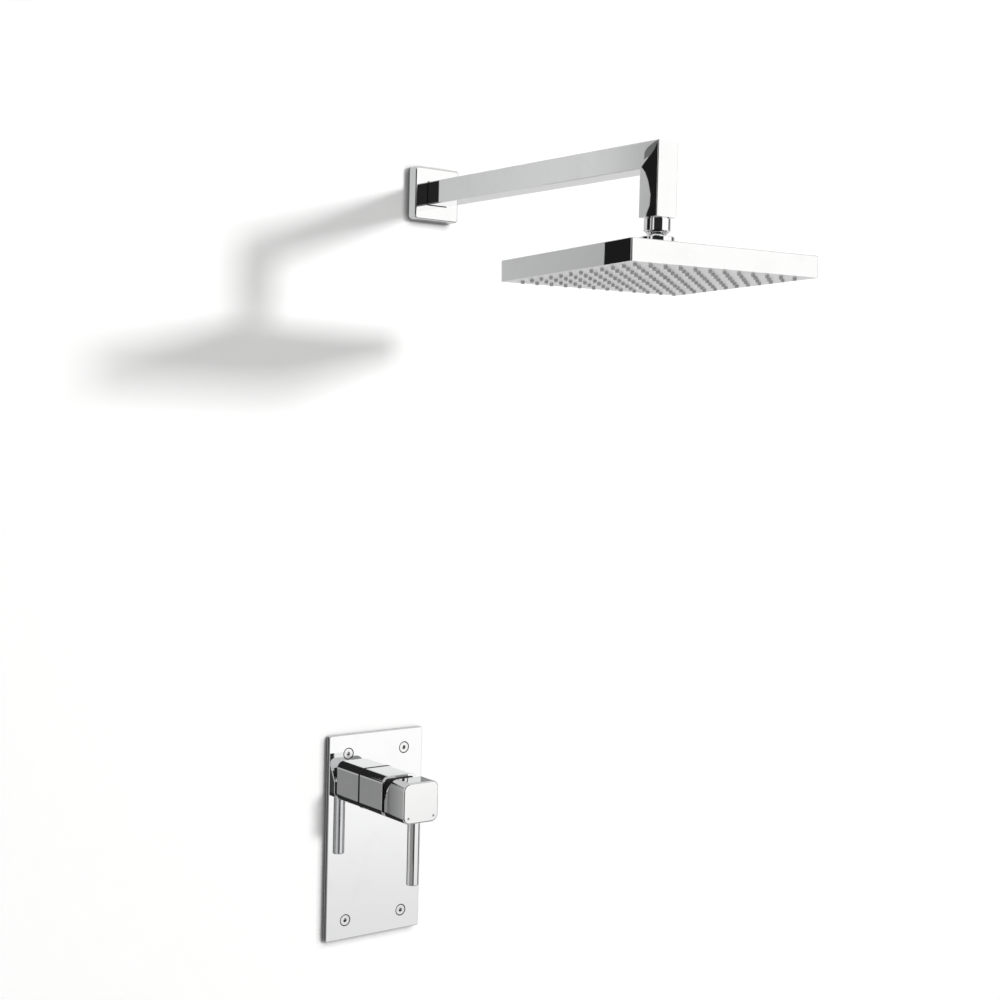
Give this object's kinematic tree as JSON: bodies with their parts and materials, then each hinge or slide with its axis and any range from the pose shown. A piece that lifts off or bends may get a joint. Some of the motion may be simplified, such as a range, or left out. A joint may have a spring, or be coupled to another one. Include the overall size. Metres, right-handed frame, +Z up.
{
  "type": "concealed shower mixer",
  "caption": "Square concealed shower mixer: wall plate with a knob and pin lever, valve and riser in the wall, and a square arm with a tilting rain head.",
  "frame": {"origin": "middle of the trim plate's back, on the finished wall", "axes": "+X right along the wall, +Y into the wall, +Z up; the front faces -Y"},
  "size_m": [0.2227, 0.524, 0.8075],
  "materials": {
    "polished_chrome": "mirror chrome plate over brass",
    "polished_steel": "mirror polished stainless steel",
    "screw_steel": "bright plated steel",
    "machined_brass": "bare machined brass",
    "copper": "drawn copper",
    "galvanised_steel": "galvanised",
    "stainless": "satin stainless steel",
    "ceramic": "lapped ceramic",
    "white_plastic": "moulded acetal",
    "grey_mark": "plain grey paint",
    "nozzle_rubber": "grey silicone",
    "black_rubber": "moulded rubber"
  },
  "bodies": {
    "fixed_set": {"trim_plate": "polished_steel", "plate_screws": "screw_steel", "plate_seal": "black_rubber", "body_sleeve": "polished_chrome", "sleeve_o_ring": "black_rubber", "cartridge_dome": "polished_chrome", "cartridge_housing": "white_plastic", "cartridge_base": "white_plastic", "base_seals": "black_rubber", "fixed_disc": "ceramic", "cartridge_nut": "machined_brass", "valve_body": "machined_brass", "mounting_bracket": "galvanised_steel", "bracket_posts": "galvanised_steel", "valve_bolts": "stainless", "lower_pipe_adaptor": "machined_brass", "upper_pipe_adaptor": "machined_brass", "compression_nuts": "machined_brass", "compression_olives": "copper", "riser_pipe": "copper", "wall_elbow": "machined_brass", "arm_wall_spigot": "machined_brass", "arm_tube": "polished_chrome", "arm_drop": "polished_chrome", "arm_outlet_spigot": "polished_chrome", "arm_escutcheon": "polished_chrome", "escutcheon_seal": "black_rubber", "flow_limiter": "white_plastic", "filter_washer": "black_rubber", "swivel_nut": "polished_chrome"},
    "turret": {"cartridge_turret": "white_plastic", "turret_pin": "stainless"},
    "handle": {"cartridge_stem": "stainless", "handle_knob": "polished_chrome", "handle_cap": "polished_chrome", "index_dots": "grey_mark", "handle_lever": "polished_chrome", "handle_set_screw": "stainless"},
    "disc": {"moving_disc": "ceramic", "disc_carrier": "white_plastic"},
    "tail": {"swivel_tail": "polished_chrome", "tail_clip": "stainless"},
    "head": {"ball_ring": "polished_chrome", "ball_seal": "white_plastic", "head_shell": "polished_chrome", "head_gasket": "black_rubber", "nozzle_mat": "nozzle_rubber", "spray_plate": "polished_steel"}
  },
  "joints": [
    {"name": "temperature_turn", "type": "hinge", "parent": "fixed_set", "child": "turret", "pos_m": [0, -0.041, 0.049], "axis": [0, 1, 0], "range_deg": [-45, 45]},
    {"name": "flow_lift", "type": "hinge", "parent": "turret", "child": "handle", "pos_m": [0, -0.041, 0.049], "axis": [-1, 0, 0], "range_deg": [0, 25]},
    {"name": "disc_slide", "type": "slide", "parent": "turret", "child": "disc", "axis": [0, 0, -1], "range_m": [0, 0.0053]},
    {"name": "head_swivel", "type": "hinge", "parent": "fixed_set", "child": "tail", "pos_m": [0.0562, -0.3554, 0.5903], "axis": [0, 0, 1], "continuous": true},
    {"name": "head_tilt", "type": "hinge", "parent": "tail", "child": "head", "pos_m": [0.0562, -0.3554, 0.5903], "axis": [0.9953, -0.0967, 0], "range_deg": [-13.82, 16.18]}
  ],
  "couplings": [
    {"joint": "disc_slide", "follows": "flow_lift", "m_per_rad": 0.012107}
  ]
}
